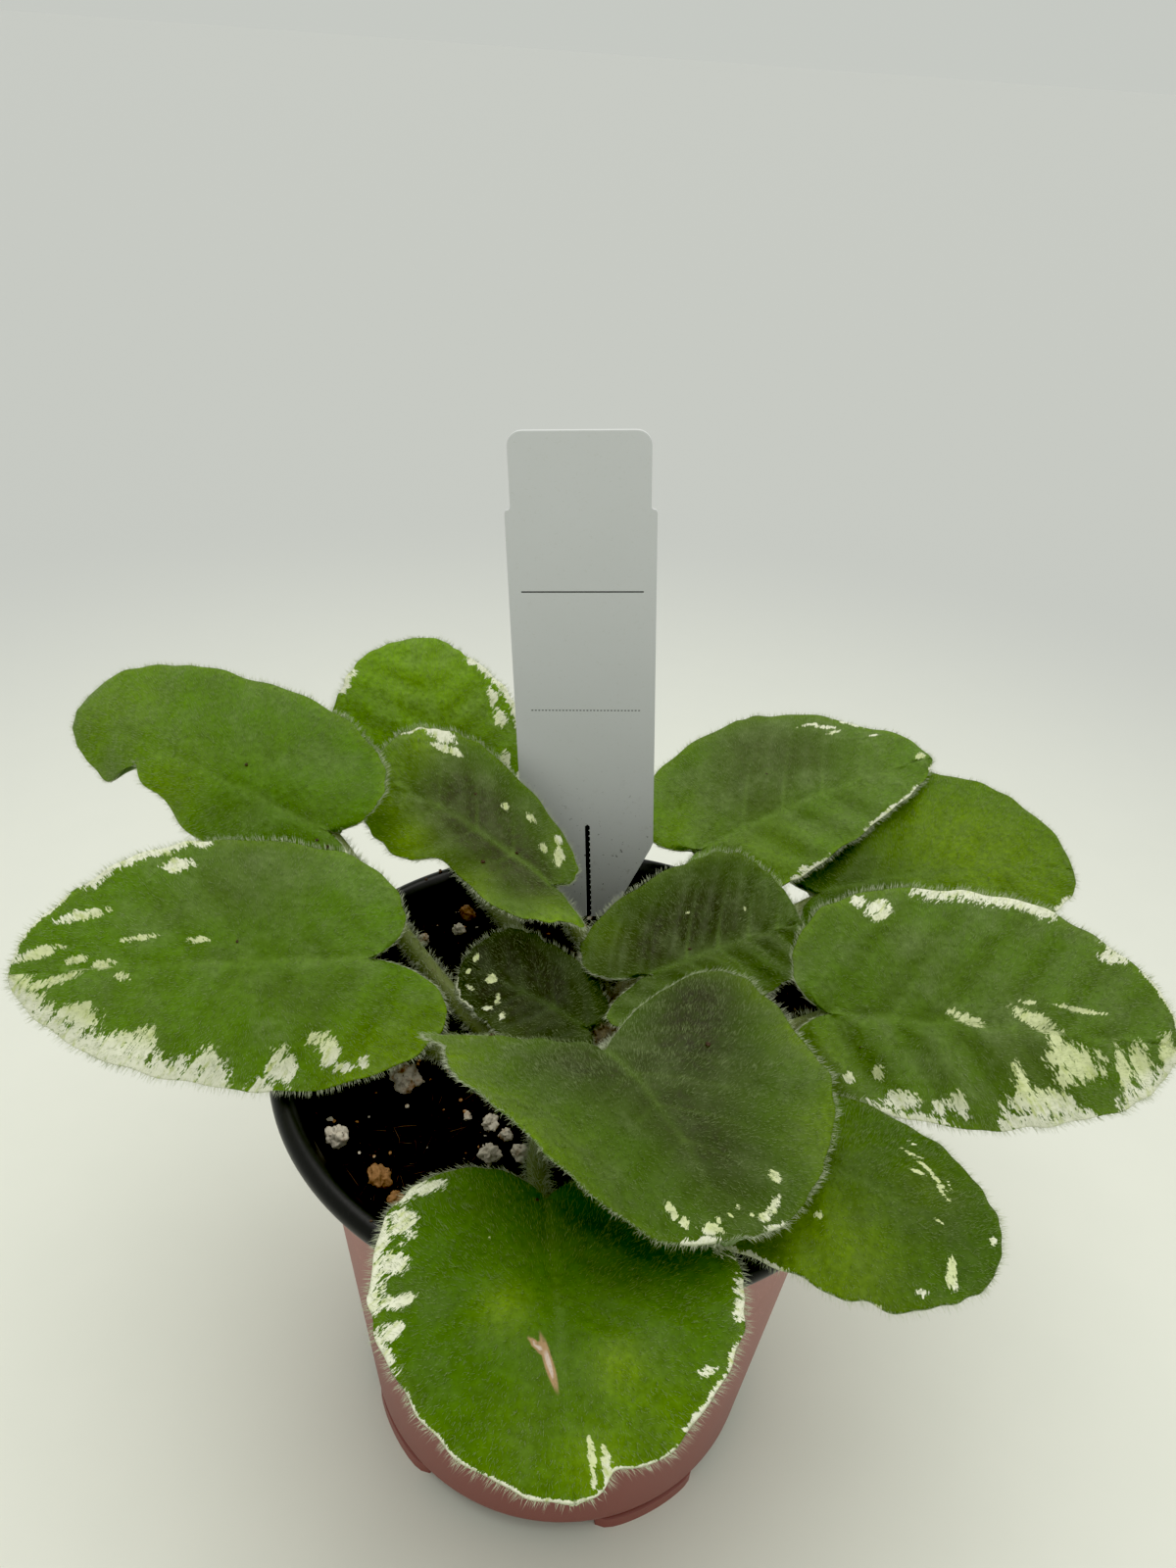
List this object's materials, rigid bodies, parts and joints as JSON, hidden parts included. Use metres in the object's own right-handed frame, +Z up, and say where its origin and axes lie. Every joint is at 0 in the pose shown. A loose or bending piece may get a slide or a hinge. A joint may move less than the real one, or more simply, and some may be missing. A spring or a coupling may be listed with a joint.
{
  "type": "potted african violet",
  "caption": "African violet out of bloom: round hairy variegated leaves on short stems in a small round nursery pot, with a plain plant label.",
  "frame": {"origin": "middle of the flat pad under the pot, on the plane that the pot stands on", "axes": "+Z up, -Y towards the front leaf, +X to the right seen from the front"},
  "size_m": [0.1947, 0.1498, 0.1834],
  "materials": {
    "pot_plastic": "thin thermoformed sheet, dusty terracotta outside and black inside and at the rim, low sheen",
    "peat": "damp dark peat with fine brown fibres",
    "label_plastic": "smooth white sheet plastic, slightly marked with soil low down",
    "crown_stem": "hairy brown and green young growth",
    "leaf_green": "soft green leaf with cream edges and splashes, covered in fine pale hairs",
    "stem_green": "pale green hairy stem",
    "perlite": "pale pitted grain with brown stains"
  },
  "bodies": {
    "root": {"pot": "pot_plastic", "soil": "peat", "plant_label": "label_plastic", "crown": "crown_stem", "leaf_far_left": "leaf_green", "leaf_left": "leaf_green", "leaf_back_left": "leaf_green", "leaf_upper_left": "leaf_green", "leaf_centre_left": "leaf_green", "leaf_centre_right": "leaf_green", "leaf_centre_front": "leaf_green", "leaf_front": "leaf_green", "leaf_front_right": "leaf_green", "leaf_right": "leaf_green", "leaf_back_right": "leaf_green", "leaf_far_right": "leaf_green", "petiole_far_left": "stem_green", "petiole_left": "stem_green", "petiole_back_left": "stem_green", "petiole_upper_left": "stem_green", "petiole_centre_left": "stem_green", "petiole_centre_right": "stem_green", "petiole_centre_front": "stem_green", "petiole_front": "stem_green", "petiole_front_right": "stem_green", "petiole_right": "stem_green", "petiole_back_right": "stem_green", "petiole_far_right": "stem_green", "perlite_01": "perlite", "perlite_02": "perlite", "perlite_03": "perlite", "perlite_04": "perlite", "perlite_05": "perlite", "perlite_06": "perlite", "perlite_07": "perlite", "perlite_08": "perlite", "perlite_09": "perlite", "perlite_10": "perlite", "perlite_11": "perlite", "perlite_12": "perlite", "perlite_13": "perlite", "perlite_14": "perlite", "perlite_15": "perlite", "perlite_16": "perlite"}
  },
  "joints": []
}
